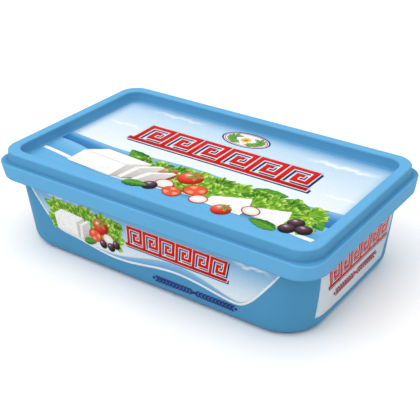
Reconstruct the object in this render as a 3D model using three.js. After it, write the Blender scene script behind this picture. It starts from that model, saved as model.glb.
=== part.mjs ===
// A closed rectangular tub of processed cheese with its press-on lid.
// Millimetres, +Z up. The tub stands on z = 0, its long side lies along X and its front faces -Y.
// The origin is under the middle of the tub.
import * as THREE from 'three';

// Overall size, measured over the lid's skirt
const length = 150;
const width = 92;
const height = 42;

// Lid, from the outside in: skirt, ledge, raised rim, recessed panel.
// An inset is a distance in from the lid's outermost outline.
const skirtHeight = 6.5;
const skirtThickness = 1.2;
const ledgeDrop = 4.7;
const ledgeEdgeRound = 0.6;
const ledgeWidth = 2.0;
const grooveDepth = 0.35;
const grooveWidth = 0.5;
const rimInset = 2.2;
const rimWidth = 4.3;
const rimOuterRound = 0.6;
const rimInnerRound = 0.6;
const recessDepth = 5.0;
const recessDraft = 0.4;
const recessFillet = 0.8;
const panelThickness = 1.0;

// Corner radii of the lid, each as it would be at the outermost outline. The skirt's corners lean in
// towards its lower edge, so the ledge sticks out a little there.
const skirtCorner = 11;
const ledgeCorner = 8;
const rimCorner = 10.8;
const recessCorner = 13;

// Tub, from the top down: flange under the lid, wall, rounded bottom edge, foot ring
const fitGap = 0.3;
const flangeThickness = 2.1;
const wallInset = 4.6;
const wallDraftX = 1.1;
const wallDraftY = 0.3;
const wallCornerTop = 11;
const wallCornerBottom = 19;
const bottomEdgeRound = 5.5;
const footRingWidth = 4.5;
const baseRecess = 0.6;
const baseRecessSlope = 0.6;

// How finely curves are divided
const cornerDivisions = 5;
const roundSteps = 4;
const bottomRoundSteps = 6;
const wallSteps = 4;

const ledgeTop = height - ledgeDrop;
const skirtBottom = ledgeTop - skirtHeight;
const panelTop = height - recessDepth;
const panelUnderside = panelTop - panelThickness;
const flangeTop = panelUnderside - fitGap;
const flangeInset = skirtThickness + fitGap;
const flangeUnderside = flangeTop - flangeThickness;

// One rounded rectangle of the stack, set in from the lid's outermost outline and listed
// anticlockwise as seen from above.
function ring({ inset, insetY = inset, corner, z }) {
  const x = length / 2 - inset - corner;
  const y = width / 2 - insetY - corner;
  const quarter = Math.PI / 2;
  const outline = new THREE.Shape();
  outline.absarc(x, -y, corner, -quarter, 0, false);
  outline.absarc(x, y, corner, 0, quarter, false);
  outline.absarc(-x, y, corner, quarter, 2 * quarter, false);
  outline.absarc(-x, -y, corner, 2 * quarter, 3 * quarter, false);
  return outline.getPoints(cornerDivisions).map((point) => new THREE.Vector3(point.x, point.y, z));
}

// Profile points of a round edge or fillet about a centre. The angle is 0 on the outward side, 90
// degrees at the top, 180 degrees on the inward side and -90 degrees at the bottom.
function roundEdge(centreInset, centreZ, radius, fromDegrees, toDegrees, steps) {
  return Array.from({ length: steps + 1 }, (_, i) => {
    const angle = THREE.MathUtils.degToRad(fromDegrees + ((toDegrees - fromDegrees) * i) / steps);
    return { inset: centreInset - radius * Math.cos(angle), z: centreZ + radius * Math.sin(angle) };
  });
}

// Skins the rings from the first to the last and closes both ends with flat caps. The stack starts
// at the downward-facing cap, so every face points out.
function loftedSolid(rings) {
  const count = rings[0].length;
  const faces = [];
  for (let level = 0; level < rings.length - 1; level += 1) {
    for (let i = 0; i < count; i += 1) {
      const a = level * count + i;
      const b = level * count + ((i + 1) % count);
      faces.push(a, b, b + count, a, b + count, a + count);
    }
  }
  const lastStart = (rings.length - 1) * count;
  for (const [a, b, c] of THREE.ShapeUtils.triangulateShape(rings[0], [])) {
    faces.push(c, b, a);
  }
  for (const [a, b, c] of THREE.ShapeUtils.triangulateShape(rings[rings.length - 1], [])) {
    faces.push(lastStart + a, lastStart + b, lastStart + c);
  }
  const geometry = new THREE.BufferGeometry().setFromPoints(rings.flat());
  geometry.setIndex(faces);
  geometry.computeVertexNormals();
  return geometry;
}

// The rings of one part of the lid's profile, whose corners share one centre.
function ringsOf(outerCorner, profile) {
  return profile.map((point) => ring({ ...point, corner: outerCorner - point.inset }));
}

// The lid: underside, skirt, ledge with a fine groove inside it, raised rim and recessed panel.
function lidGeometry() {
  const skirt = [
    { inset: skirtThickness, z: panelUnderside },
    { inset: skirtThickness, z: skirtBottom },
    { inset: 0, z: skirtBottom },
  ];
  const ledgeEdge = roundEdge(ledgeEdgeRound, ledgeTop - ledgeEdgeRound, ledgeEdgeRound, 0, 90, roundSteps);
  const rim = [
    { inset: ledgeWidth - grooveWidth, z: ledgeTop },
    { inset: ledgeWidth - grooveWidth / 2, z: ledgeTop - grooveDepth },
    { inset: ledgeWidth, z: ledgeTop },
    ...roundEdge(rimInset + rimOuterRound, height - rimOuterRound, rimOuterRound, 0, 90, roundSteps),
  ];
  const rimInnerInset = rimInset + rimWidth;
  const filletInset = rimInnerInset + recessDraft + recessFillet;
  const recess = [
    ...roundEdge(rimInnerInset - rimInnerRound, height - rimInnerRound, rimInnerRound, 90, 180, roundSteps),
    ...roundEdge(filletInset, panelTop + recessFillet, recessFillet, 0, -90, roundSteps),
  ];
  return loftedSolid([
    ...ringsOf(skirtCorner, skirt),
    ...ringsOf(ledgeCorner, ledgeEdge),
    ...ringsOf(rimCorner, rim),
    ...ringsOf(recessCorner, recess),
  ]);
}

// Where the tub's wall stands at a height: it leans in towards the base, more at its ends than at
// its long sides, and its corners grow rounder.
function wallAt(z) {
  const down = (flangeUnderside - z) / flangeUnderside;
  return {
    inset: wallInset + wallDraftX * down,
    insetY: wallInset + wallDraftY * down,
    corner: THREE.MathUtils.lerp(wallCornerTop, wallCornerBottom, down),
    z,
  };
}

// Moves a level of the wall inwards, keeping its corner centres.
function movedIn(level, distance, z) {
  return {
    inset: level.inset + distance,
    insetY: level.insetY + distance,
    corner: level.corner - distance,
    z,
  };
}

// The filled tub as one solid: recessed base, foot ring, rounded bottom edge, leaning wall and the
// flange that the lid closes over.
function tubGeometry() {
  const wallFoot = wallAt(bottomEdgeRound);
  const footInner = bottomEdgeRound + footRingWidth;
  const levels = [
    movedIn(wallFoot, footInner + baseRecessSlope, baseRecess),
    movedIn(wallFoot, footInner, 0),
  ];
  for (let i = 0; i < bottomRoundSteps; i += 1) {
    const angle = (Math.PI / 2) * (1 - i / bottomRoundSteps);
    const inwards = bottomEdgeRound * (1 - Math.cos(angle));
    levels.push(movedIn(wallFoot, inwards, bottomEdgeRound * (1 - Math.sin(angle))));
  }
  for (let i = 0; i <= wallSteps; i += 1) {
    levels.push(wallAt(THREE.MathUtils.lerp(bottomEdgeRound, flangeUnderside, i / wallSteps)));
  }
  for (const z of [flangeUnderside, flangeTop]) {
    levels.push({ inset: flangeInset, corner: skirtCorner - flangeInset, z });
  }
  return loftedSolid(levels.map(ring));
}

const lidPlastic = new THREE.MeshStandardMaterial({ color: '#6db6e6', roughness: 0.42, metalness: 0 });
const tubPlastic = new THREE.MeshStandardMaterial({ color: '#5da3d2', roughness: 0.4, metalness: 0 });

function namedMesh(name, geometry, material) {
  const mesh = new THREE.Mesh(geometry, material);
  mesh.name = name;
  return mesh;
}

const cheeseTub = new THREE.Group();
cheeseTub.add(namedMesh('tub', tubGeometry(), tubPlastic));
cheeseTub.add(namedMesh('lid', lidGeometry(), lidPlastic));

export default cheeseTub;
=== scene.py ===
import math

import bpy
import numpy as np
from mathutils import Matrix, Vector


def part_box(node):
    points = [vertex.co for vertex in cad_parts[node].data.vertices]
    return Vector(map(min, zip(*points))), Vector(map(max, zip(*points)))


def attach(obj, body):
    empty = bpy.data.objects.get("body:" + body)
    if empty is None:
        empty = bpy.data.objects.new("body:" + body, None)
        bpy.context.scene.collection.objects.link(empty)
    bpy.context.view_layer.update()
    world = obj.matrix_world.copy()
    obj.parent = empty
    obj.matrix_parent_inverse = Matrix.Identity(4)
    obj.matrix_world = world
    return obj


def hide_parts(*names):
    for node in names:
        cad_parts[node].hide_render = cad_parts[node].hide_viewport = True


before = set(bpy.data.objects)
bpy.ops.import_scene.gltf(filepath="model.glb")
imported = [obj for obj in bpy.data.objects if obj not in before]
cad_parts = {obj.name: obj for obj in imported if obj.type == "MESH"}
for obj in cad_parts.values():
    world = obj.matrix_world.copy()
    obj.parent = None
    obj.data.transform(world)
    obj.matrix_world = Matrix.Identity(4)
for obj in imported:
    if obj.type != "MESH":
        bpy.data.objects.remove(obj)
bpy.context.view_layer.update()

# The shapes below are worked out in millimetres and become metres when a mesh is made.
# X runs along the tub, -Y is its front, and the print is laid out as seen from outside, x to the right, y up.
mm = 0.001
lidHigh = np.array(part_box("lid")[1]) / mm
tubHigh = np.array(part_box("tub")[1]) / mm
halfLength, halfWidth = float(lidHigh[0]), float(lidHigh[1])
tau = 2 * math.pi


# Colours

def linearColour(hexCode):  # sRGB hex to linear light, by the usual two-part curve
    parts = np.array([int(hexCode[i:i + 2], 16) for i in (1, 3, 5)]) / 255
    return np.where(parts <= 0.04045, parts / 12.92, ((parts + 0.055) / 1.055) ** 2.4)


def ramp(amount, *hexCodes):  # runs evenly through the colours as amount goes from 0 to 1
    stops = np.linspace(0, 1, len(hexCodes))
    table = np.array([linearColour(code) for code in hexCodes])
    return np.stack([np.interp(amount, stops, table[:, k]) for k in range(3)], -1)


def mix(first, second, amount):
    return first + (second - first) * np.asarray(amount)[..., None]


def smoothStep(low, high, value):  # 0 below low, 1 above high, an S curve between
    t = np.clip((value - low) / (high - low), 0, 1)
    return t * t * (3 - 2 * t)


# Meshes

def gridQuads(rows, columns, closed=False):
    # Quads between the neighbours of a grid, numbered row by row; closed joins the last column to the first
    r, c = np.meshgrid(np.arange(rows - 1), np.arange(columns if closed else columns - 1), indexing="ij")
    a = r * columns + c
    b = r * columns + (c + 1) % columns
    return np.stack([a, b, b + columns, a + columns], -1).reshape(-1, 4)


def closedFaces(rows, columns):
    # The quads of a closed ring grid and its two end caps. Faces point outwards where the rings run
    # anticlockwise from above, from the cap that faces down to the one that faces up.
    faces = gridQuads(rows, columns, closed=True).tolist()
    return faces + [list(range(columns))[::-1], list(range((rows - 1) * columns, rows * columns))]


def makePiece(name, points, faces, colours=None):
    # points in millimetres, (n, 3); faces a list of corner lists; colours linear, (n, 3)
    mesh = bpy.data.meshes.new(name)
    mesh.from_pydata((points * mm).tolist(), [], faces)
    mesh.shade_smooth()
    if colours is not None:
        layer = mesh.color_attributes.new("printColourAndPaintedShade", "FLOAT_COLOR", "POINT")
        layer.data.foreach_set("color", np.c_[colours, np.ones(len(colours))].astype(np.float32).ravel())
    mesh.validate()
    piece = bpy.data.objects.new(name, mesh)
    bpy.context.scene.collection.objects.link(piece)
    return piece


def joinSheets(name, sheets):
    # Each sheet is a grid of points (rows, columns, 3) and its colours (rows, columns, 3)
    points, colours, faces, start = [], [], [], 0
    for place, colour in sheets:
        rows, columns = place.shape[:2]
        points.append(place.reshape(-1, 3))
        colours.append(np.broadcast_to(colour, place.shape).reshape(-1, 3))
        faces.append(gridQuads(rows, columns) + start)
        start += rows * columns
    return makePiece(name, np.concatenate(points), np.concatenate(faces).tolist(), np.concatenate(colours))


# The rounded rectangles that the lid and the tub are made of

sections = np.arange(10)
signX = [0, 1, 1, 1, 1, -1, -1, -1, -1, 0]
signY = [-1, -1, -1, 1, 1, 1, 1, -1, -1, -1]
heading = np.radians([-90, -90, 0, 0, 90, 90, 180, 180, 270, 270])


def roundAbout(q, inset, insetY, corner, z, lift=0):
    # A point of a rounded rectangle is its corner's centre plus the corner's radius turned to its heading.
    # q counts the straights and corners from the middle of the front, anticlockwise from above, from 0 to 9.
    turn = np.interp(q, sections, heading)
    x = np.interp(q, sections, signX) * (halfLength - inset - corner) + (corner + lift) * np.cos(turn)
    y = np.interp(q, sections, signY) * (halfWidth - insetY - corner) + (corner + lift) * np.sin(turn)
    return np.stack([x, y, z + 0 * x], -1)


def ringSteps(straightSteps, cornerSteps):  # values of q for one closed ring
    counts = [straightSteps, cornerSteps] * 4 + [straightSteps]
    return np.concatenate([k + np.arange(n) / n for k, n in enumerate(counts)])


def arcPoints(centreInset, centreZ, radius, fromDegrees, toDegrees, count):
    # (inset, z) along a circle in the profile's plane: 0 degrees is outwards, 90 is up
    a = np.radians(np.linspace(fromDegrees, toDegrees, count))
    return np.stack([centreInset - radius * np.cos(a), centreZ + radius * np.sin(a)], -1)


# Lid

lidShape = {
    "skirtHeight": 6.5, "skirtThickness": 1.2, "skirtLipRound": 0.35, "skirtRows": 7,
    "ledgeDrop": 4.7, "ledgeEdgeRound": 0.6, "ledgeWidth": 2.0, "grooveDepth": 0.3, "grooveWidth": 0.7,
    "rimInset": 2.2, "rimWidth": 4.3, "rimOuterRound": 0.6, "rimInnerRound": 0.6,
    "recessDepth": 5.0, "recessDraft": 0.4, "recessFillet": 0.8, "panelThickness": 1.0,
    "skirtCorner": 11, "ledgeCorner": 8, "rimCorner": 10.8, "recessCorner": 13,
    "edgeHold": 0.3, "lean": 0.03, "grooveFloor": 0.24, "undersideRun": 3.0,
    "paintedShades": {  # painted shade: how much deeper the colour is made, from 0 to 1, and the millimetres between which that comes in
        "underRim": (0.66, 0.2, 0.8), "ledge": (0.7, 0.25, 0.75), "recess": (0.85, 0.2, 1.2),
        "recessPaler": (0.65, 2.0, 4.6), "skirt": (0.12, 0.3, 0.7), "lip": (0.55, 0.9, 0.3),
    },
    "straightSteps": 18, "cornerSteps": 22, "roundSteps": 9,
}
rimTop = float(lidHigh[2])
panelTop = rimTop - lidShape["recessDepth"]
ledgeTop = rimTop - lidShape["ledgeDrop"]
skirtBottom = ledgeTop - lidShape["skirtHeight"]
filletInset = sum(lidShape[key] for key in ("rimInset", "rimWidth", "recessDraft", "recessFillet"))


def lidProfile():
    # (inset, corner, z) from the middle of the underside out, down and up round the skirt, over the rim and
    # into the recess. The corners of one stretch share centres: a radius is the stretch's own less the inset.
    # A row stands one hold from each rounded edge, so that the flat beside it stays flat.
    k = lidShape
    hold, lean = k["edgeHold"], k["lean"]
    steps, lip, thick = k["roundSteps"], k["skirtLipRound"], k["skirtThickness"]
    underside = panelTop - k["panelThickness"]
    edgeFoot = ledgeTop - k["ledgeEdgeRound"]
    grooveMid = k["ledgeWidth"] - k["grooveWidth"] / 2
    rimInner = k["rimInset"] + k["rimWidth"]
    inside = np.concatenate([
        [(thick + k["undersideRun"], underside), (thick + hold, underside)],
        [(thick, underside - hold), (thick, skirtBottom + 2 * lip)],
        arcPoints(thick - lip, skirtBottom + lip, lip, 180, 270, steps // 2),
    ])
    skirt = np.concatenate([
        arcPoints(lip, skirtBottom + lip, lip, -90, 0, steps // 2),
        [(0, z) for z in np.linspace(skirtBottom + lip + hold, edgeFoot - hold, k["skirtRows"])],
    ])
    ledge = np.concatenate([
        arcPoints(k["ledgeEdgeRound"], edgeFoot, k["ledgeEdgeRound"], 0, 90, steps),
        [(k["ledgeEdgeRound"] + hold, ledgeTop)],
    ])
    grooveEdge = k["ledgeWidth"] - k["grooveWidth"]
    outer, inner = k["rimOuterRound"], k["rimInnerRound"]
    rim = np.concatenate([
        [(grooveEdge - hold / 3, ledgeTop), (grooveEdge, ledgeTop)],
        [(grooveMid + side * k["grooveFloor"] / 2, ledgeTop - k["grooveDepth"]) for side in (-1, 1)],
        [(k["ledgeWidth"], ledgeTop), (k["ledgeWidth"] + lean, ledgeTop + hold)],
        [(k["rimInset"] - lean, rimTop - outer - hold)],
        arcPoints(k["rimInset"] + outer, rimTop - outer, outer, 0, 90, steps),
    ])
    recess = np.concatenate([
        arcPoints(rimInner - inner, rimTop - inner, inner, 90, 180, steps),
        [(rimInner + lean, rimTop - inner - hold)],
        [(rimInner + k["recessDraft"] - lean, panelTop + k["recessFillet"] + hold)],
        arcPoints(filletInset, panelTop + k["recessFillet"], k["recessFillet"], 0, -90, steps),
        [(filletInset + hold, panelTop)],
    ])
    skirtLean = np.interp(skirt[:, 1], (skirtBottom, edgeFoot), (k["skirtCorner"], k["ledgeCorner"]))
    stretches = ((inside, k["skirtCorner"]), (skirt, skirtLean), (ledge, k["ledgeCorner"]),
                 (rim, k["rimCorner"]), (recess, k["recessCorner"]))
    return np.concatenate([np.c_[part[:, 0], radius - part[:, 0], part[:, 1]] for part, radius in stretches])


def sweptShell(name, rings, q, paintedShade=None):
    # rings is (inset, insetY, corner, z) for each level, from the downward cap to the upward one
    inset, insetY, corner, z = (rings[:, k:k + 1] for k in range(4))
    points = roundAbout(q[None, :], inset, insetY, corner, z)
    rows, columns = points.shape[:2]
    # paintedShade, when given, is each ring's amount of painted shade, kept in the colour attribute
    colours = None if paintedShade is None else np.repeat(np.repeat(paintedShade, columns)[:, None], 3, 1)
    return makePiece(name, points.reshape(-1, 3), closedFaces(rows, columns), colours)


def makeLid():
    inset, corner, z = lidProfile().T
    rings = np.stack([inset, inset, corner, z], -1)
    k = lidShape
    rimFoot = k["rimInset"] - k["edgeHold"]
    rimOutside = (inset > rimFoot) & (inset < k["rimInset"] + 2 * k["rimOuterRound"])
    ledge = (inset < rimFoot) & (z > ledgeTop - k["ledgeEdgeRound"])
    recess = inset > k["rimInset"] + k["rimWidth"] / 2

    def paintedShadeAmount(name, distance, part=True):
        amount, begins, full = k["paintedShades"][name]
        return amount * smoothStep(begins, full, distance) * part

    # Painted shade: the plastic's colour is made deeper where shade falls in the steps, under the rim, on the
    # ledge and round the recess, which pales again lower down, with a little on the skirt and more at its lip
    paintedShade = np.maximum.reduce([
        paintedShadeAmount("underRim", rimTop - z, rimOutside), paintedShadeAmount("ledge", inset, ledge),
        paintedShadeAmount("recess", rimTop - z, recess) - paintedShadeAmount("recessPaler", rimTop - z, recess),
        paintedShadeAmount("skirt", ledgeTop - z, inset < k["skirtThickness"]), paintedShadeAmount("lip", z - skirtBottom)])
    return sweptShell("lidShell", rings, ringSteps(k["straightSteps"], k["cornerSteps"]), paintedShade)


# Tub

tubShape = {
    "wallInset": 4.6, "wallDraftX": 1.1, "wallDraftY": 0.3, "cornerTop": 11, "cornerBottom": 19,
    "bottomRound": 5.5, "footRingWidth": 4.5, "baseRecess": 0.6, "baseRecessSlope": 0.6,
    "flangeThickness": 2.1, "fitGap": 0.3,
    "footFlat": 0.5, "footBevel": 0.1, "recessHold": 0.4,
    "straightSteps": 24, "cornerSteps": 26, "wallRows": 30, "roundRows": 14,
}
flangeTop = float(tubHigh[2])
flangeUnderside = flangeTop - tubShape["flangeThickness"]


def wallAt(z):
    # The wall leans in towards the base and its corners grow rounder; at the bottom edge it curves under
    k = tubShape
    down = (flangeUnderside - np.maximum(z, k["bottomRound"])) / flangeUnderside
    below = np.clip(k["bottomRound"] - z, 0, k["bottomRound"])
    under = k["bottomRound"] - np.sqrt(k["bottomRound"] ** 2 - below ** 2)
    corner = k["cornerTop"] + (k["cornerBottom"] - k["cornerTop"]) * down
    inset, insetY = (k["wallInset"] + k[draft] * down + under for draft in ("wallDraftX", "wallDraftY"))
    return inset, insetY, corner - under


def makeTub():
    k = tubShape
    foot = np.array(wallAt(np.array([0.0]))).T[0]
    ringInner = k["footRingWidth"]
    recessEdge = ringInner + k["baseRecessSlope"]
    inwards = np.array([1, 1, -1])  # what a millimetre further in does to inset, insetY and corner
    base = [(*(foot + further * inwards), z) for further, z in (
        (recessEdge + k["recessHold"], k["baseRecess"]), (recessEdge, k["baseRecess"]),
        (ringInner + k["footBevel"], k["footBevel"] / 2), (ringInner, 0), (k["footFlat"], 0))]
    turn = np.radians(np.linspace(0, 90, k["roundRows"]))
    straight = np.linspace(k["bottomRound"], flangeUnderside, k["wallRows"])
    heights = np.concatenate([k["bottomRound"] * (1 - np.cos(turn)), straight[1:]])
    wall = np.stack([*wallAt(heights), heights], -1)
    flangeInset = lidShape["skirtThickness"] + k["fitGap"]
    flangeCorner = lidShape["skirtCorner"] - flangeInset
    flange = [(flangeInset, flangeInset, flangeCorner, z) for z in (flangeUnderside, flangeTop)]
    rings = np.concatenate([base, wall, flange])
    return sweptShell("tubShell", rings, ringSteps(k["straightSteps"], k["cornerSteps"]))


gate = {
    "ringOuter": 7.5, "ringInner": 6.6, "ringDrop": 0.22, "stub": 1.1, "stubDrop": 0.3, "slope": 0.1,
    "floorDrop": 0.02, "sunk": 0.1, "pole": 0.05, "around": 64,
}


def makeGate():
    # The mark of the mould's gate in the middle of the base: a low ring round a stub, turned as one closed
    # disc. Its profile is (radius, how far it stands down from the base); its upper side is inside the base.
    k = gate
    slope, edge = k["slope"], k["ringOuter"] + k["slope"]
    profile = np.array([
        (k["pole"], k["stubDrop"]), (k["stub"], k["stubDrop"]), (k["stub"] + slope, k["floorDrop"]),
        (k["ringInner"] - slope, k["floorDrop"]), (k["ringInner"], k["ringDrop"]),
        (k["ringOuter"], k["ringDrop"]), (edge, 0.0), (edge, -k["sunk"]), (k["pole"], -k["sunk"])])
    turn = np.linspace(0, tau, k["around"], endpoint=False)
    radius, z = profile[:, :1], tubShape["baseRecess"] - profile[:, 1:]
    points = np.stack([radius * np.cos(turn), radius * np.sin(turn), z + 0 * turn], -1)
    return makePiece("tubGate", points.reshape(-1, 3), closedFaces(len(profile), k["around"]))


# Where the print lies

def onPanel(x, y, lift):  # the recessed panel of the lid, seen from above with the front at the bottom
    return np.stack([x, y, panelTop + lift + 0 * x], -1)


printHeight = 18.0  # the height at which distances round the wall are true
wallX, wallY, wallCorner = (float(value) for value in wallAt(np.array(printHeight)))
frontHalf = halfLength - wallX - wallCorner
sideHalf = halfWidth - wallY - wallCorner
cornerRun = wallCorner * math.pi / 2
wallRuns = np.cumsum([0, frontHalf, cornerRun, 2 * sideHalf, cornerRun,
                      2 * frontHalf, cornerRun, 2 * sideHalf, cornerRun, frontHalf])
endMiddle = frontHalf + cornerRun + sideHalf  # from the middle of the front to the middle of the right end
backMiddle = wallRuns[-1] / 2


def onWall(s, z, lift):  # s is the distance round the wall from the middle of the front, z the height
    q = np.interp(np.mod(s, wallRuns[-1]), wallRuns, sections)
    inset, insetY, corner = wallAt(z)
    return roundAbout(q, inset, insetY, corner, z, lift)


film = {
    "lift": 0.03, "thickness": 0.05,  # how far its face stands above the plastic, and how thick it is
    "inkLayer": 0.012, "inkThickness": 0.009,  # from one layer of ink to the next, and how thick each is
    "seed": 7,
}


def layersOf(drawing):
    # Sheets are laid in their order: each goes one layer above the highest earlier one whose box it overlaps
    low = np.array([xy.reshape(-1, 2).min(0) for xy, colour in drawing])
    high = np.array([xy.reshape(-1, 2).max(0) for xy, colour in drawing])
    level = np.ones(len(drawing))
    for n in range(1, len(drawing)):
        over = np.all((low[:n] < high[n]) & (high[:n] > low[n]), axis=1)
        level[n] = 1 + level[:n][over].max(initial=0)
    return level


def laid(place, drawing, x=0.0, y=0.0, size=1.0, lift=0.0):
    # Lays a drawing, a list of sheets of (flat points, colours), on a surface, moved and scaled
    heights = lift + layersOf(drawing) * film["inkLayer"]
    return [(place(x + size * xy[..., 0], y + size * xy[..., 1], height), colour)
            for (xy, colour), height in zip(drawing, heights)]


# Flat shapes of the print, each a function of two parameters on a grid

def strip(x, low, high, rows):  # the field between two curves over x
    t = np.linspace(0, 1, rows)[:, None]
    y = low[None, :] * (1 - t) + high[None, :] * t
    return np.stack([np.broadcast_to(x, y.shape), y], -1)


def line(path, width):
    # A line of constant width along a path: each point moves both ways along the mitre of its two segments
    step = np.diff(path, axis=0)
    along = step / np.linalg.norm(step, axis=1)[:, None]
    right = np.stack([along[:, 1], -along[:, 0]], -1)
    before, after = np.vstack([right[:1], right]), np.vstack([right, right[-1:]])
    mitre = (before + after) / (1 + np.sum(before * after, 1))[:, None]
    return np.stack([path - mitre * width / 2, path + mitre * width / 2], 1)


def discGrid(count):
    # A square grid pressed into a disc, x = a sqrt(1 - b b / 2) and the same for y, so it has no pole
    a, b = np.meshgrid(np.linspace(-1, 1, count), np.linspace(-1, 1, count))
    return a * np.sqrt(1 - b * b / 2), b * np.sqrt(1 - a * a / 2)


def polarDisc(count):  # the same points, with how far out each lies and in which direction
    x, y = discGrid(count)
    return x, y, np.hypot(x, y), np.arctan2(y, x)


def turned(x, y, degrees, centre):
    c, s = math.cos(math.radians(degrees)), math.sin(math.radians(degrees))
    return np.stack([centre[0] + c * x - s * y, centre[1] + s * x + c * y], -1)


def oval(centre, halfX, halfY, hexCode, count=33):
    x, y = discGrid(count)
    return np.stack([centre[0] + halfX * x, centre[1] + halfY * y], -1), linearColour(hexCode)


def ball(centre, radius, colours, glint, stretch=1.0, degrees=0, count=21):
    # A disc shaded as a sphere: lit by the angle to a lamp at the upper left, with a glint and a lighter edge
    x, y = discGrid(count)
    height = np.sqrt(np.clip(1 - x * x - y * y, 0, 1))
    lit = np.clip(-0.42 * x + 0.55 * y + 0.72 * height, -0.25, 1)
    colour = ramp((lit + 0.25) / 1.25, *colours)
    shine = np.exp(-(((x + 0.34) / 0.22) ** 2 + ((y - 0.42) / 0.15) ** 2))
    colour = mix(colour, linearColour(glint), np.clip(shine, 0, 0.95))
    colour = mix(colour, linearColour(colours[-1]), 0.25 * smoothStep(0.75, 1, x * 0.6 - y * 0.8))
    return turned(radius * stretch * x, radius * y, degrees, centre), colour


def blade(centre, length, width, degrees, bend, colours, rows=21, columns=13):
    # A leaf: u runs along the midrib, v across; the half width is a sine hump leaning to the stem
    u, v = np.meshgrid(np.linspace(0.004, 0.996, rows), np.linspace(1, -1, columns), indexing="ij")
    half = width / 2 * np.sin(math.pi * u ** 0.8) ** 0.8
    x = length * (u - 0.5)
    y = half * v * (1 + 0.05 * np.sin(9 * math.pi * u)) + bend * length * (0.25 - (u - 0.5) ** 2)
    veins = np.cos(tau * (5.5 * u - 1.1 * np.abs(v)))
    tone = 0.52 + 0.26 * v + 0.13 * veins - 0.25 * np.abs(v) ** 3
    colour = ramp(np.clip(tone, 0, 1), *colours)
    colour = mix(colour, linearColour(colours[-1]), 0.75 * np.exp(-(v / 0.1) ** 2) * (1 - 0.5 * u))
    return turned(x, y, degrees, centre), colour


def curlyLeaf(foot, reach, degrees, colours, rng, spread=74, rows=13, columns=49):
    # A curly leaf fanned out from its foot: u runs out along the ribs, v across the fan. Its edge waves at
    # three rates, and the same waves, bent along u, shade its folds; the ribs are pale near the foot.
    u, v = np.meshgrid(np.linspace(0.04, 1, rows), np.linspace(1, -1, columns), indexing="ij")
    phase = rng.uniform(0, tau, 4)
    waves = ((0.1, 7), (0.07, 17), (0.035, 43))
    wave = sum(height * np.cos(rate * v + phase[n]) for n, (height, rate) in enumerate(waves))
    far = reach * u * (1 + wave * u ** 2) * (1 - 0.3 * v * v)
    turn = np.radians(spread * v * (0.8 + 0.2 * u)) + 0.1 * u * np.sin(9 * v + phase[3])
    folds = np.cos(17 * v + phase[1] + 2.4 * u)
    crinkle = np.cos(43 * v + phase[2] - 7 * u + 1.4 * np.sin(8 * u + phase[3]))
    tone = 0.3 + 0.3 * folds * u + 0.26 * crinkle * smoothStep(0.25, 0.85, u) + 0.38 * smoothStep(0.7, 1, u)
    tone -= 0.3 * np.exp(-((u - 0.62 - 0.1 * folds) / 0.09) ** 2)
    ribs = np.exp(-(np.sin(7.5 * v + 0.6 * np.sin(5 * u)) / 0.2) ** 2) * (1 - u)
    colour = mix(ramp(np.clip(tone, 0, 1), *colours), linearColour(colours[-1]), 0.6 * ribs)
    return turned(far * np.cos(turn), far * np.sin(turn), degrees, foot), colour


def facet(corners, first, last, across, count):
    # A flat four-cornered face: a bilinear blend of its corners, its colour running from first to last
    u, v = np.meshgrid(np.linspace(0, 1, count), np.linspace(0, 1, count), indexing="ij")
    p = np.array(corners, float)
    xy = sum(w[..., None] * p[k] for k, w in enumerate(((1 - u) * (1 - v), (1 - u) * v, u * v, u * (1 - v))))
    return xy, ramp(np.clip(u + across * (v - 0.5), 0, 1), first, last)


# Fields of colour on the lid's panel: sky, two waves of blue, a white band and plain blue at the front

panelPrint = {
    "overlap": 0.2, "columns": 271, "rows": {"plain": 22, "band": 8, "near": 24, "deep": 36, "sky": 90},
    # each wave is a middle, top or rise, a swing, a length and a shift along x
    "bandMiddle": -25.6, "bandSwing": 2.6, "bandLength": 96, "bandShift": 74, "bandWidth": 2.2,
    "deepTop": -6.2, "deepSwing": 1.3, "deepLength": 74, "deepShift": 1.5,
    "nearRise": 5.4, "nearSwing": 4.6, "nearLength": 128, "nearShift": 60,
    # the sky turns to its edge colour, by so much, from so far in to past the edge: the print's own fade to
    # blue, together with painted shade from the recess walls
    "sideFade": 6.0, "sideBlue": 0.75, "backFade": 8.5, "backBlue": 0.9, "fadeEnd": -1.5,
    "plain": "#6AB7E6", "band": "#FBFEFF",
    "deep": ("#8CC3EA", "#3B8AC8", "#2A72B2"), "near": ("#5FABE0", "#86C5EE"),
    "sky": ("#F0F8FD", "#E7F3FB", "#D9ECF9", "#CAE3F6", "#B4D5EF"), "skyEdge": "#74AED8",
    # a cloud or shade is its middle x and y, half length and half height
    "clouds": ((-38, 33, 13, 1.5), (47, 29, 14, 1.7), (-54, 14, 8, 1.1), (59, 5, 7, 1.0)), "cloudInk": 0.9,
    "shades": ((-30, -26.5, 26, 4.2), (4, -24, 24, 4.4), (34, -25, 26, 3.6), (54, -24.5, 13, 4.6)),
    "shade": 0.42,
}
panelHalfX = halfLength - filletInset + panelPrint["overlap"]
panelHalfY = halfWidth - filletInset + panelPrint["overlap"]
panelCorner = lidShape["recessCorner"] - filletInset + panelPrint["overlap"]


def panelEdge(x):  # how far the print reaches to the front and the back at x, less in the round corners
    past = np.clip(np.abs(x) - (panelHalfX - panelCorner), 0, panelCorner)
    return panelHalfY - panelCorner + np.sqrt(panelCorner ** 2 - past ** 2)


def wave(x, name):  # a cosine along the panel
    k = panelPrint
    return k[name + "Swing"] * np.cos(tau * (x + k[name + "Shift"]) / k[name + "Length"])


def clouded(colour, x, y, k):
    # Flat-bottomed white puffs: a bump each way about the cloud's middle, its underside cut shorter
    for cloudX, cloudY, long, tall in k["clouds"]:
        belly = y - cloudY - 0.5 * np.sin((x - cloudX) * 0.55) - 0.35 * np.sin((x - cloudX) * 1.3 + 1)
        puff = np.exp(-((x - cloudX) / long) ** 4 - (belly / np.where(belly > 0, tall, tall * 0.55)) ** 2)
        colour = mix(colour, 1.0, k["cloudInk"] * puff)
    return colour


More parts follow.
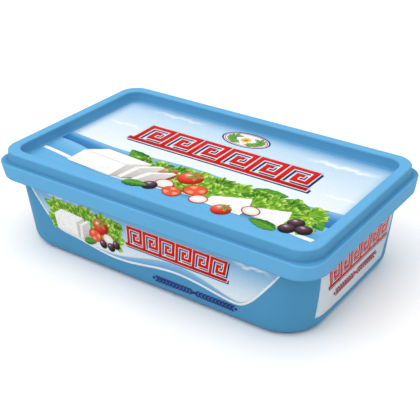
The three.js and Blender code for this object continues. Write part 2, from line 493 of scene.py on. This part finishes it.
def skyColour(x, y):
    k = panelPrint
    colour = ramp(np.clip((y - k["deepTop"]) / (panelHalfY - k["deepTop"]), 0, 1), *k["sky"])
    colour = clouded(colour, x, y, k)
    # the fade to the edge colour at the sides and the back is partly the print's own blue and partly painted
    # shade from the recess walls
    atSides = k["sideBlue"] * smoothStep(k["sideFade"], k["fadeEnd"], panelHalfX - np.abs(x))
    atBack = k["backBlue"] * smoothStep(k["backFade"], k["fadeEnd"], panelHalfY - y)
    return mix(colour, linearColour(k["skyEdge"]), np.maximum(atSides, atBack))


def shaded(sheet, shades, strength):
    # Darkens a field softly under the picture: each shade is an oval that fades from its middle to its edge
    xy, colour = sheet
    light = np.ones(xy.shape[:2])
    for x, y, wide, tall in shades:
        far = np.hypot((xy[..., 0] - x) / wide, (xy[..., 1] - y) / tall)
        light = light * (1 - strength * smoothStep(1, 0.15, far))
    return xy, colour * light[..., None]


def climb(rows, x):  # from 0 at the lowest row of a strip to 1 at its highest
    return np.linspace(0, 1, rows)[:, None] + 0 * x


def panelFields():
    k = panelPrint
    rows = k["rows"]
    x = np.linspace(-panelHalfX, panelHalfX, k["columns"])
    edge, band = panelEdge(x), k["bandMiddle"] + wave(x, "band")
    low, high = band - k["bandWidth"] / 2, band + k["bandWidth"] / 2
    near, deep = high + k["nearRise"] + wave(x, "near"), k["deepTop"] + wave(x, "deep")
    sky = strip(x, deep, edge, rows["sky"])
    fields = [
        (strip(x, -edge, low, rows["plain"]), linearColour(k["plain"])),
        (strip(x, low, high, rows["band"]), linearColour(k["band"])),
        (strip(x, high, near, rows["near"]), ramp(climb(rows["near"], x), *k["near"])),
        (strip(x, near, deep, rows["deep"]), ramp(1 - climb(rows["deep"], x), *k["deep"])),
        (sky, skyColour(sky[..., 0], sky[..., 1])),
    ]
    return [(*shaded(field, k["shades"], k["shade"]), 0) for field in fields]


# The key-pattern border in red, edged in white, over its navy shadow

keyBorder = {
    "hooks": 6, "lidY": 11.6, "lidHeight": 14.2, "stroke": 0.165, "overrun": 0.22, "hookWidth": 0.78,
    "edge": 0.042, "shadowEdge": 0.0252, "shadowX": 0.095, "shadowY": -0.08,
    "red": "#EA150F", "redLow": "#D6100B", "white": "#FDFEFF", "navy": "#2B2E6E",
    "hook": ((0, 0), (0, 1), (0.78, 1), (0.78, 0.32), (0.36, 0.32), (0.36, 0.66), (0.56, 0.66)),
}


def keyPattern():
    # One unit tall, centred: a base line, and hooks that wind in from it; drawn three times, shadow first
    k = keyBorder
    wide = k["hooks"] - 1 + k["hookWidth"]
    paths = [np.array([(-k["overrun"], 0), (wide + k["overrun"], 0)])]
    paths += [np.array(k["hook"]) + (n, 0) for n in range(k["hooks"])]
    drawing = []
    passes = (("navy", "navy", k["shadowEdge"], (k["shadowX"], k["shadowY"])),
              ("white", "white", k["edge"], (0, 0)), ("redLow", "red", 0, (0, 0)))
    for lowInk, highInk, grow, shift in passes:
        for path in paths:
            ends = path - (wide / 2, 0.5) + shift
            ends[0] += grow * (path[0] - path[1]) / np.linalg.norm(path[0] - path[1])
            ends[-1] += grow * (path[-1] - path[-2]) / np.linalg.norm(path[-1] - path[-2])
            xy = line(ends, k["stroke"] + 2 * grow)
            drawing.append((xy, ramp(xy[..., 1] + 0.5, k[lowInk], k[highInk])))
    return drawing


# The emblem above the border: an oval medal with two sprigs that curve up round a golden rosette

emblem = {
    "y": 30, "halfX": 11.6, "halfY": 6.9,
    "rings": ((0, "#2B3A80"), (0.75, "#FFFFFF"), (1.15, "#D8332A"), (1.6, "#F7FBFD")),
    "radius": 5.4, "squash": 0.74, "spread": 1.3, "stemFrom": -84, "stemTo": 40, "stemWidth": 0.36,
    "leaves": 6, "leavesFrom": -62, "leavesTo": 42, "leafLength": 3.3, "leafWidth": 1.5,
    "leafAside": 0.95, "leafLean": 34, "rosette": 2.7, "rosetteY": -0.2, "heartRadius": 0.8,
    "stem": "#3E7E3A", "greens": ("#2F6E2B", "#5FA03A", "#A9CF5A"),
    "gold": ("#D79A1E", "#F3C433", "#FFE680"), "heart": ("#A81C14", "#E03A2A", "#F58A70"),
    "glint": "#FFFFFF",
}


def emblemMedal():
    # The sprigs' stems follow an ellipse, and pairs of leaves stand on both sides of it, leaning forwards
    k = emblem
    drawing = [oval((0, 0), k["halfX"] - inset, k["halfY"] - inset, ink) for inset, ink in k["rings"]]
    for side in (-1, 1):
        a = np.radians(np.linspace(k["stemFrom"], k["stemTo"], 20))[::side]
        stem = k["radius"] * np.stack([side * np.cos(a) * k["spread"], k["squash"] * np.sin(a)], -1)
        drawing.append((line(stem, k["stemWidth"]), linearColour(k["stem"])))
        for degrees in np.linspace(k["leavesFrom"], k["leavesTo"], k["leaves"]):
            for flip in (-1, 1):
                reach = k["radius"] + flip * k["leafAside"]
                c, s = math.cos(math.radians(degrees)), math.sin(math.radians(degrees))
                centre = (side * reach * c * k["spread"], reach * k["squash"] * s)
                lean = 90 + side * (degrees - flip * k["leafLean"])
                drawing.append(blade(centre, k["leafLength"], k["leafWidth"], lean, 0.0, k["greens"], 11, 7))
    x, y, far, turn = polarDisc(25)
    petals = k["rosette"] * (1 - 0.3 * (0.5 - 0.5 * np.cos(8 * turn)) * smoothStep(0.2, 1, far))
    tone = np.clip(0.25 + 0.75 * np.cos(4 * turn) ** 2 * smoothStep(0.1, 0.9, far), 0, 1)
    middle = (0, k["rosetteY"])
    rosette = turned(petals * x, petals * y, 90, middle), ramp(tone, *k["gold"])
    return drawing + [rosette, ball(middle, k["heartRadius"], k["heart"], k["glint"], count=11)]


# A laurel garland in one ink: a straight stem with pairs of leaves that lean outwards from a middle berry

garland = {
    "stemWidth": 0.1, "leafLength": 0.92, "leafWidth": 0.33, "leafAngle": 30, "leafAside": 0.28,
    "step": 0.58, "first": 0.55, "berry": 0.22,
}


def garlandDrawing(pairs, colours):
    # One unit is about the height. Leaf n of each half has its middle n steps out, beside the stem.
    k = garland
    reach = k["first"] + pairs * k["step"]
    drawing = [(line(np.array([(-reach, 0.0), (reach, 0.0)]), k["stemWidth"]), linearColour(colours[1]))]
    for end in (-1, 1):
        for n in range(pairs):
            for side in (-1, 1):
                lean = side * k["leafAngle"] if end > 0 else 180 - side * k["leafAngle"]
                centre = (end * (k["first"] + n * k["step"]), side * k["leafAside"])
                drawing.append(blade(centre, k["leafLength"], k["leafWidth"], lean, 0.0, colours, 9, 7))
    return drawing + [oval((x, 0), k["berry"], k["berry"], colours[1], 9) for x in (-reach, 0, reach)]


# The food in the picture

inks = {
    "curly": ("#3C8414", "#74B322", "#A8D63A", "#E8F59A"),
    "curlyDeep": ("#245C10", "#4E941A", "#88C030", "#C4E26C"), "bed": ("#2A6410", "#4C9018"),
    "basil": ("#1F5E1C", "#3E8F2A", "#8CC63F"),
    "tomato": ("#8F120C", "#D8281A", "#F4614A"), "tomatoGlint": "#FFF1EC",
    "calyx": ("#2C5E17", "#4F8F2A", "#8FBF4A"),
    "tomatoSkin": "#C01F14", "tomatoFlesh": "#EE5A3C", "tomatoGel": "#F79A62", "tomatoSeed": "#F9E3A8",
    "grape": ("#100810", "#2E1C27", "#6B4A57"), "grapeGlint": "#D9CBD6",
    "cheeseTop": ("#FEFEFC", "#FFFFFF"), "cheeseFront": ("#F5F4F2", "#FDFDFC"),
    "cheeseEnd": ("#C6C0BC", "#DCD7D3"), "cheesePit": "#BDB9B2",
    "radishRim": "#CF2249", "radishFlesh": ("#FFFFFF", "#F1F2E6"), "radishRay": "#CDD3B8",
}


def tomato(centre, radius, degrees):
    x, y, far, turn = polarDisc(17)
    star = radius * 0.7 * (0.5 + 0.5 * np.cos(5 * turn)) * smoothStep(0, 1, far) + radius * 0.06 * far
    calyx = turned(star * np.cos(turn), star * np.sin(turn), degrees,
                   (centre[0] + 0.12 * radius, centre[1] + 0.5 * radius))
    return [ball(centre, radius, inks["tomato"], inks["tomatoGlint"], 1.05, degrees),
            (calyx, ramp(0.3 + 0.7 * far, *inks["calyx"]))]


def tomatoHalf(centre, radius, degrees):
    # A cut face: skin at the edge, then flesh, with three chambers of gel and seeds round a paler core
    x, y, far, turn = polarDisc(29)
    chamber = smoothStep(0.1, 0.55, np.cos(3 * turn))
    chamber = chamber * smoothStep(0.2, 0.34, far) * smoothStep(0.84, 0.72, far)
    seed = np.exp(-((np.cos(15 * turn) - 0.9) / 0.4) ** 2) * np.exp(-((far - 0.58) / 0.12) ** 2)
    flesh = linearColour(inks["tomatoFlesh"]) + 0 * x[..., None]
    colour = mix(flesh, linearColour(inks["tomatoGel"]), chamber)
    colour = mix(colour, linearColour(inks["tomatoSeed"]), np.clip(chamber * seed, 0, 0.9))
    colour = mix(colour, linearColour(inks["tomatoSkin"]), smoothStep(0.86, 0.96, far))
    return [(turned(radius * x, radius * 0.84 * y, degrees, centre), colour)]


def radish(centre, radius, degrees):
    x, y, far, turn = polarDisc(25)
    colour = ramp(far, *inks["radishFlesh"])
    rays = (0.5 + 0.5 * np.cos(16 * turn)) * smoothStep(0.15, 0.6, far)
    colour = mix(colour, linearColour(inks["radishRay"]), 0.45 * rays + 0.2 * smoothStep(0.2, -0.9, y))
    colour = mix(colour, linearColour(inks["radishRim"]), smoothStep(0.8, 0.9, far))
    return [(turned(radius * x, radius * 0.82 * y, degrees, centre), colour)]


crumb = {"grid": 29, "pits": 26, "least": 0.16, "most": 0.46, "pitInk": 0.42, "lipInk": 0.6}


def crumbFace(corners, first, last, rng, across=0.0):
    # A cut face: a facet with small pits, each a dark spot under a light lip, scattered by random draws
    k = crumb
    xy, colour = facet(corners, first, last, across, k["grid"])
    flat = xy.reshape(-1, 2)
    middle = rng.uniform(0.06, 0.94, (2, k["pits"], 1, 1)) * np.ptp(flat, axis=0).reshape(2, 1, 1, 1)
    far = xy.transpose(2, 0, 1)[:, None] - flat.min(0).reshape(2, 1, 1, 1) - middle
    size = rng.uniform(k["least"], k["most"], (k["pits"], 1, 1))
    pit = np.exp(-((far[0] / size) ** 2 + (far[1] / (0.7 * size)) ** 2)).sum(0)
    lip = np.exp(-((far[0] / size) ** 2 + ((far[1] + size) / (0.5 * size)) ** 2)).sum(0)
    colour = mix(colour, linearColour(inks["cheesePit"]), k["pitInk"] * np.clip(pit, 0, 1))
    return xy, mix(colour, linearColour(inks["cheeseTop"][1]), k["lipInk"] * np.clip(lip, 0, 1))


def block(corner, along, depth, height, rng):
    # A cut block seen from above its near corner: front, end and top faces from one corner and three edges
    o, a, d, h = (np.array(v, float) for v in (corner, along, depth, height))
    return [crumbFace((o, o + a, o + a + h, o + h), *inks["cheeseFront"], rng, 0.3),
            crumbFace((o + a, o + a + d, o + a + d + h, o + a + h), *inks["cheeseEnd"], rng, 0.3),
            crumbFace((o + h, o + a + h, o + a + d + h, o + d + h), *inks["cheeseTop"], rng, -0.6)]


def wedge(tip, back, side, height, rng):
    # A cut wedge: its upright side face and its three-cornered top
    t, b, s, h = (np.array(v, float) for v in (tip, back, side, height))
    return [crumbFace((t, b, b + h, t + h), *inks["cheeseFront"], rng),
            crumbFace((t + h, b + h, s + h, (t + s) / 2 + h), *inks["cheeseTop"], rng)]


def leafBed(left, right, low, high, rows, leaves, reach, rng):
    # A dark ground with a scalloped top, and on it curly leaves in rows from back to front, fanned outwards
    x = np.linspace(left, right, 61)
    middle, half = (left + right) / 2, (right - left) / 2
    arch = np.sqrt(np.clip(1 - ((x - middle) / half) ** 4, 0, 1))
    top = high + (0.75 * reach + 0.08 * reach * np.cos(x * 9 / reach)) * arch
    drawing = [(strip(x, low + 0 * x, top, 7), ramp(climb(7, x), *inks["bed"]))]
    for row, y in enumerate(np.linspace(high, low, rows)):
        for x in rng.permutation(np.linspace(left + 0.35 * reach, right - 0.35 * reach, leaves)):
            lean = 90 - 58 * (x - middle) / half + rng.uniform(-26, 26)
            ink = "curlyDeep" if rng.uniform() < 0.35 - 0.12 * row else "curly"
            foot = (x + rng.uniform(-0.15, 0.15) * reach, y + rng.uniform(-0.1, 0.1) * reach)
            drawing.append(curlyLeaf(foot, reach * rng.uniform(0.85, 1.1), lean, inks[ink], rng))
    return drawing


# The two pictures, from back to front. A leaf is its middle, length, width, turn and bend; a bed is its left,
# right, low and high, then rows, leaves in a row and their reach; a block is its near corner and three edges;
# a wedge is its tip, back, side and height; the round things are a middle, a radius and a turn.

lidPicture = (
    ("leaf", (-27, -9), 17, 8.5, 152, 0.12), ("leaf", (33, -7.8), 18, 9, 22, 0.12),
    ("leaf", (47, -10), 17, 8.6, -8, 0.1), ("leaf", (58, -15.5), 15, 8, -38, 0.1),
    ("bed", -24, 56, -24, -13.5, 3, 11, 8.4),
    ("tomato", (-9.5, -15.6), 5.0, -18), ("tomato", (1.4, -13.2), 5.2, 8),
    ("block", (-51, -27.6), (24, -1.6), (8.4, 5.8), (0, 11.5)),
    ("block", (-24.2, -27.9), (2.4, -0.2), (8.4, 5.6), (1.3, 10.8)),
    ("block", (-18.6, -28.3), (2.4, -0.2), (8.6, 5.0), (2.9, 9.8)),
    ("half", (8.8, -20.4), 5.0, 12), ("radish", (-4.4, -22.6), 4.3, -8), ("half", (1.6, -26.2), 4.3, -20),
    ("wedge", (16.5, -26.8), (33.5, -27.4), (31, -20.6), (0, 6.6)),
    ("wedge", (36, -24.6), (50, -26), (48.5, -20.4), (0, 6)),
    ("radish", (13.8, -25.6), 3.9, 20), ("radish", (35.2, -22.2), 4.0, -15),
    ("grape", (53.6, -20.6), 3.3), ("grape", (58.4, -23.6), 3.3), ("grape", (52.6, -25.8), 3.3),
    ("grape", (-8.6, -26.8), 3.3), ("tomato", (25.4, -27.4), 3.9, 10),
    ("leaf", (-14.5, -29), 11, 5.2, 12, 0.15), ("leaf", (43.5, -28.2), 12.5, 5.6, 172, -0.14),
)
wallPicture = (
    ("leaf", (-15, 1.5), 10, 5, 150, 0.12), ("leaf", (15.5, 2), 10, 5, 28, 0.12),
    ("bed", -15, 17, -6, 0.5, 3, 6, 6), ("tomato", (9.2, 0.2), 3.6, 12),
    ("block", (-15.5, -7.6), (11.5, -0.8), (4.6, 3.2), (0, 6.4)),
    ("block", (-3.0, -8.0), (1.5, -0.1), (4.6, 3.0), (0.8, 5.9)),
    ("half", (5.6, -4.6), 3.3, 8), ("radish", (12.4, -4.4), 3.0, -10),
    ("grape", (9.3, -7.4), 1.9), ("grape", (16.2, -5.8), 1.9), ("grape", (13.4, -7.6), 1.9),
    ("leaf", (2.2, -8.4), 7, 3.2, 10, 0.15),
)


def foodGroup(picture, rng):  # draws a picture in its order
    makers = {
        "leaf": lambda *values: [blade(*values, inks["basil"])], "bed": lambda *values: leafBed(*values, rng),
        "block": lambda *values: block(*values, rng), "wedge": lambda *values: wedge(*values, rng),
        "tomato": tomato, "half": tomatoHalf, "radish": radish,
        "grape": lambda *values: [ball(*values, inks["grape"], inks["grapeGlint"])],
    }
    return [sheet for kind, *values in picture for sheet in makers[kind](*values)]


# Fields of colour on the tub: a hazy sky over a wave on each long side, and a pale slanted field on each end

wallPrint = {
    "half": 61, "columns": 181, "waveRows": 8, "skyRows": 30, "low": 10.6, "swing": 1.7, "length": 62,
    "rise": 22, "riseFrom": 40, "top": 32.9, "skyFull": 29.9, "lineWidth": 1.0, "line": "#EFF4F7",
    "waveHeight": 3.6, "waveShare": 0.9, "waveLength": 90, "waveShift": -12,
    "wave": ("#5A9FD3", "#8FC2E6"),
    "sky": ("#EAF3F8", "#D5E7F3", "#B2D4EC", "#8EC1E6", "#76B2DE"),
    "clouds": ((-40, 27.5, 8, 0.9), (-30, 25.4, 5, 0.7), (46, 26.5, 7, 0.8)), "cloudInk": 0.85,
    "borderX": 14, "borderZ": 21.4, "borderHeight": 7.6, "foodX": -31, "foodZ": 20.6,
    "garlandX": 24, "garlandZ": 6.6, "garlandHeight": 2.9, "pairs": 11,
    "garlandInk": ("#26357E", "#2B3A80", "#34438A"),
}
endPrint = {
    "rows": 26, "columns": 61, "bottom": 6.6, "top": 32.9, "sag": 0.8,
    "leftLow": -32.0, "leftHigh": -27.5, "rightLow": 25.5, "rightHigh": 30.0,
    "pale": ("#DDE6EC", "#CFDBE5", "#BED0E0"), "borderX": 0.5, "borderZ": 20.6, "borderHeight": 7.9,
    "garlandX": -1, "garlandZ": 11.6, "garlandHeight": 3.2, "pairs": 9,
    "garlandInk": ("#9E3C42", "#AC464C", "#B45258"),
}


def wallLine(s):
    k = wallPrint
    return k["low"] + k["swing"] * np.sin(tau * s / k["length"]) + k["rise"] * smoothStep(
        k["riseFrom"], k["half"], np.abs(s)) ** 2


def longSideFields():
    k = wallPrint
    s = np.linspace(-k["half"], k["half"], k["columns"])
    low = wallLine(s)
    height = k["waveHeight"] * (0.55 + 0.45 * np.cos(tau * (s + k["waveShift"]) / k["waveLength"]))
    waveTop = low + np.minimum(height, k["waveShare"] * (k["top"] - low))
    sky = strip(s, waveTop, np.full_like(s, k["top"]), k["skyRows"])
    x, z = sky[..., 0], sky[..., 1]
    colour = ramp(np.clip((z - k["low"]) / (k["skyFull"] - k["low"]), 0, 1), *k["sky"])
    edge = line(np.stack([s, low], -1), k["lineWidth"])
    edge[..., 1] = np.minimum(edge[..., 1], k["top"])
    blue = ramp(climb(k["waveRows"], s), *k["wave"])
    colour = clouded(colour, x, z, k)
    return [(strip(s, low, waveTop, k["waveRows"]), blue, 0), (sky, colour, 0),
            (edge, linearColour(k["line"]), 1)]


def endField():
    # The field's sides lean; u runs across it and t up it, and its lower edge sags in the middle
    k = endPrint
    t, u = np.meshgrid(np.linspace(0, 1, k["rows"]), np.linspace(0, 1, k["columns"]), indexing="ij")
    left = k["leftLow"] + (k["leftHigh"] - k["leftLow"]) * t
    right = k["rightLow"] + (k["rightHigh"] - k["rightLow"]) * t
    z = k["bottom"] + (k["top"] - k["bottom"]) * t - k["sag"] * np.sin(math.pi * u) * (1 - t)
    colour = ramp(np.clip(0.65 * u + 0.35 * t, 0, 1), *k["pale"])
    return [(np.stack([left + (right - left) * u, z], -1), colour, 0)]


# Materials

def addNode(tree, kind, inputs=None, **settings):
    # Adds a node, sets its properties and fills or links its inputs
    node = tree.nodes.new(kind)
    for key, value in settings.items():
        setattr(node, key, value)
    for key, value in (inputs or {}).items():
        if isinstance(value, bpy.types.NodeSocket):
            tree.links.new(value, node.inputs[key])
        else:
            node.inputs[key].default_value = value
    return node


def newMaterial(name):
    material = bpy.data.materials.new(name)
    material.use_nodes = True
    tree = material.node_tree
    return material, tree, tree.nodes["Principled BSDF"]


def rgba(hexCode):
    return (*(float(part) for part in linearColour(hexCode)), 1.0)


noiseRange = {"From Min": 0.3, "From Max": 0.7}  # most values of a noise lie between these


def setSheen(tree, shader, noise, finish):  # the roughness varies with a noise, the rest is the same all over
    least, most = finish["roughness"]
    rough = addNode(tree, "ShaderNodeMapRange", {
        "Value": noise.outputs["Fac"], "To Min": least, "To Max": most})
    tree.links.new(rough.outputs["Result"], shader.inputs["Roughness"])
    shader.inputs["IOR"].default_value = finish["ior"]
    shader.inputs["Specular IOR Level"].default_value = finish["specular"]


# each deep colour is where the flow streaks go; on the lid it is also the colour of the painted shade
plastic = {
    "lid": "#63A8D4", "lidDeep": "#4B8DB7", "tub": "#4C8EB6", "tubDeep": "#4384AB",
    "roughness": (0.45, 0.56), "ior": 1.49, "specular": 0.04,
    "flowMm": 38, "streak": 0.12, "grainMm": 0.55, "grainDepthMm": 0.05, "bump": 0.04,
}


def mouldedPolypropylene(name, part, usePaintedShade):
    # Injection-moulded polypropylene, pigmented: a satin skin with faint flow streaks in the colour and a
    # texture from the mould that only breaks up the highlights; on the lid, painted shade read from the
    # shell's colour attribute deepens the colour in the steps
    material, tree, shader = newMaterial(name)
    place = addNode(tree, "ShaderNodeTexCoord").outputs["Object"]
    flow, grain = (
        addNode(tree, "ShaderNodeTexNoise", {"Vector": place, "Scale": 1 / (size * mm), "Detail": 3.0})
        for size in (plastic["flowMm"], plastic["grainMm"]))
    streaks = {"Value": flow.outputs["Fac"], **noiseRange, "To Max": plastic["streak"]}
    amount = addNode(tree, "ShaderNodeMapRange", streaks).outputs["Result"]
    # painted shade: the lid shell's amount is added to the streaks, towards the deep colour
    if usePaintedShade:
        paintedShade = addNode(tree, "ShaderNodeAttribute", attribute_name="printColourAndPaintedShade")
        amount = addNode(tree, "ShaderNodeMath", {0: paintedShade.outputs["Fac"], 1: amount}, operation="ADD",
                         use_clamp=True).outputs["Value"]
    pale, deep = rgba(plastic[part]), rgba(plastic[part + "Deep"])
    colour = addNode(tree, "ShaderNodeMix", {"Factor": amount, 6: pale, 7: deep}, data_type="RGBA")
    tree.links.new(colour.outputs[2], shader.inputs["Base Color"])
    bump = addNode(tree, "ShaderNodeBump", {
        "Height": grain.outputs["Fac"], "Strength": plastic["bump"],
        "Distance": plastic["grainDepthMm"] * mm})
    tree.links.new(bump.outputs["Normal"], shader.inputs["Normal"])
    setSheen(tree, shader, grain, plastic)
    return material


filmFinish = {
    "white": (0.81, 0.85), "mottleMm": 1.1, "roughness": (0.34, 0.44), "ior": 1.49, "specular": 0.08,
}


def printedFilm(name):
    # Polypropylene film printed by offset and moulded in with the wall: flat ink colours, a little darker
    # than pure because the film is not quite white, and a faint unevenness where the film has stretched
    material, tree, shader = newMaterial(name)
    ink = addNode(tree, "ShaderNodeAttribute", attribute_name="printColourAndPaintedShade")
    place = addNode(tree, "ShaderNodeTexCoord").outputs["Object"]
    scale = 1 / (filmFinish["mottleMm"] * mm)
    mottle = addNode(tree, "ShaderNodeTexNoise", {"Vector": place, "Scale": scale, "Detail": 3.0})
    least, most = filmFinish["white"]
    value = addNode(tree, "ShaderNodeMapRange", {
        "Value": mottle.outputs["Fac"], **noiseRange, "To Min": least, "To Max": most})
    colour = addNode(tree, "ShaderNodeMix", {
        "Factor": 1.0, 6: ink.outputs["Color"], 7: value.outputs["Result"]},
        data_type="RGBA", blend_type="MULTIPLY")
    tree.links.new(colour.outputs[2], shader.inputs["Base Color"])
    setSheen(tree, shader, mottle, filmFinish)
    return material


lidPlastic = mouldedPolypropylene("pigmented polypropylene, moulded lid", "lid", True)
tubPlastic = mouldedPolypropylene("pigmented polypropylene, moulded tub", "tub", False)
labelFilm = printedFilm("printed polypropylene film, moulded in")


def finishPiece(piece, material, slotName, *nodes):
    piece.data.materials.append(material)
    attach(piece, "root")
    if nodes:
        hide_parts(*nodes)
    print(piece.name, len(piece.data.polygons), "faces")


def thicken(piece, thickness):  # gives a film its thickness, downwards into what it lies on
    solid = piece.modifiers.new("film", "SOLIDIFY")
    solid.thickness = thickness * mm
    solid.offset = -1
    return piece


# Making the pieces

def printPiece(name, sheets, slotName, thickness=film["inkThickness"]):
    finishPiece(thicken(joinSheets(name, sheets), thickness), labelFilm, slotName)


def filmSheets(place, fields, x=0.0):
    # The fields of colour lie side by side on one level, and a line between them one layer of ink higher
    return [(place(x + xy[..., 0], xy[..., 1], film["lift"] + raised * film["inkLayer"]), colour)
            for xy, colour, raised in fields]


def printLid(rng):
    printPiece("lidPrintFields", filmSheets(onPanel, panelFields()), "lid_plastic", film["thickness"])
    lift = film["lift"]
    border = laid(onPanel, keyPattern(), y=keyBorder["lidY"], size=keyBorder["lidHeight"], lift=lift)
    printPiece("lidPrintBorder", border, "lid_plastic")
    printPiece("lidPrintEmblem", laid(onPanel, emblemMedal(), y=emblem["y"], lift=lift), "lid_plastic")
    printPiece("lidPrintFood", laid(onPanel, foodGroup(lidPicture, rng), lift=lift), "lid_plastic")


def printTub(rng):
    # The front and the back are alike, with the garland straight on the plastic, and so are the two ends
    lift = film["lift"]
    fields, borders, garlands, food = [], [], [], []
    sides = [(middle, wallPrint, longSideFields(), 0) for middle in (0, backMiddle)]
    sides += [(middle, endPrint, endField(), lift) for middle in (endMiddle, -endMiddle)]
    for middle, k, field, garlandLift in sides:
        fields += filmSheets(onWall, field, middle)
        borders += laid(onWall, keyPattern(), middle + k["borderX"], k["borderZ"], k["borderHeight"], lift)
        leaves = garlandDrawing(k["pairs"], k["garlandInk"])
        x = middle + k["garlandX"]
        garlands += laid(onWall, leaves, x, k["garlandZ"], k["garlandHeight"], garlandLift)
    for middle in (0, backMiddle):
        x = middle + wallPrint["foodX"]
        food += laid(onWall, foodGroup(wallPicture, rng), x, wallPrint["foodZ"], lift=lift)
    printPiece("tubPrintFields", fields, "tub_plastic", film["thickness"])
    printPiece("tubPrintBorder", borders, "tub_plastic")
    printPiece("tubPrintGarland", garlands, "tub_plastic")
    printPiece("tubPrintFood", food, "tub_plastic")


finishPiece(makeLid(), lidPlastic, "lid_plastic", "lid")
finishPiece(makeTub(), tubPlastic, "tub_plastic", "tub")
finishPiece(makeGate(), tubPlastic, "tub_plastic")
rng = np.random.default_rng(film["seed"])
printLid(rng)
printTub(rng)


# Floor, light and camera

studio = {
    "floorSize": 8.0, "floorColour": "#FAFAFA", "floorRoughness": 0.7,
    "worldColour": "#FFFFFF", "world": 0.42,
    "lamps": {  # place in metres, size in metres, watts
        "softboxAbove": ((0.0, 0.0, 1.5), 3.0, 34.0),
        "softboxFront": ((-0.5, -0.8, 0.8), 1.2, 4.8),
        "softboxRight": ((1.4, -0.7, 0.9), 2.0, 3.0),
    },
}


def makeFloor():
    half = studio["floorSize"] / 2 / mm
    corners = np.array([(-half, -half, 0), (half, -half, 0), (half, half, 0), (-half, half, 0)], float)
    floor = makePiece("floor", corners, [[0, 1, 2, 3]])
    material, tree, shader = newMaterial("white laminate table")
    shader.inputs["Base Color"].default_value = rgba(studio["floorColour"])
    shader.inputs["Roughness"].default_value = studio["floorRoughness"]
    floor.data.materials.append(material)


def areaLight(name, place, size, power):  # a square softbox turned to the origin
    lamp = bpy.data.lights.new(name, "AREA")
    lamp.shape, lamp.size, lamp.energy = "SQUARE", size, power
    holder = bpy.data.objects.new(name, lamp)
    bpy.context.scene.collection.objects.link(holder)
    holder.location = place
    x, y, z = place
    holder.rotation_euler = (math.atan2(math.hypot(x, y), z), 0, math.atan2(x, -y))


def makeWorld():
    world = bpy.data.worlds.new("studio")
    bpy.context.scene.world = world
    world.use_nodes = True
    back = world.node_tree.nodes["Background"]
    back.inputs["Color"].default_value = rgba(studio["worldColour"])
    back.inputs["Strength"].default_value = studio["world"]
    bpy.context.scene.view_settings.view_transform = "Standard"


view = {
    "azimuth": 34.47, "elevation": 28.91, "distance": 367.1, "target": (9.89, -11.90, 25.0),
    "lens": 79.1, "sensor": 36, "near": 0.01, "far": 20,  # near and far in metres
}


def makeCamera():
    # The camera stands back from its target along the azimuth and elevation of the photo's viewpoint
    a, e = math.radians(view["azimuth"]), math.radians(view["elevation"])
    back = np.array([math.sin(a) * math.cos(e), -math.cos(a) * math.cos(e), math.sin(e)])
    camera = bpy.data.cameras.new("camera")
    camera.lens, camera.sensor_width = view["lens"], view["sensor"]
    camera.clip_start, camera.clip_end = view["near"], view["far"]
    holder = bpy.data.objects.new("camera", camera)
    bpy.context.scene.collection.objects.link(holder)
    holder.location = (np.array(view["target"]) + view["distance"] * back) * mm
    holder.rotation_euler = (math.radians(90) - e, 0, a)
    bpy.context.scene.camera = holder


makeFloor()
for lampName, (place, size, power) in studio["lamps"].items():
    areaLight(lampName, place, size, power)
makeWorld()
makeCamera()
print("floor, light and camera are set")
